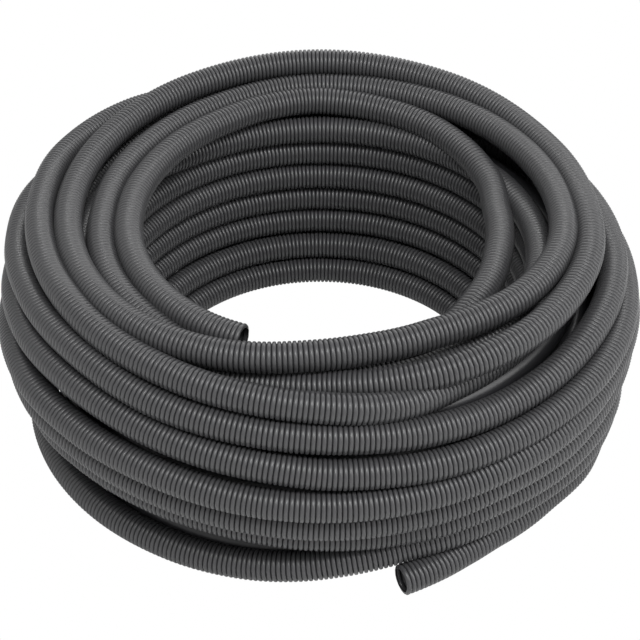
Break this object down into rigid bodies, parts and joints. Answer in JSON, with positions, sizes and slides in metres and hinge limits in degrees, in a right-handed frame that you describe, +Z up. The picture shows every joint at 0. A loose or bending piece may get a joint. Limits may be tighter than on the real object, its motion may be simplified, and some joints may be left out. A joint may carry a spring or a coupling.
{
  "type": "corrugated conduit coil",
  "caption": "Coil of black corrugated plastic conduit lying flat, wound in stacked turns, with both cut ends loose and open.",
  "frame": {"origin": "on the floor below the centre of the coil's winding", "axes": "+Z up along the coil's axis; the front, where both cut ends lie, is towards -Y"},
  "size_m": [0.4192, 0.4192, 0.16],
  "materials": {
    "conduit": "satin, moulded"
  },
  "bodies": {
    "root": {"conduit": "conduit"}
  },
  "joints": []
}
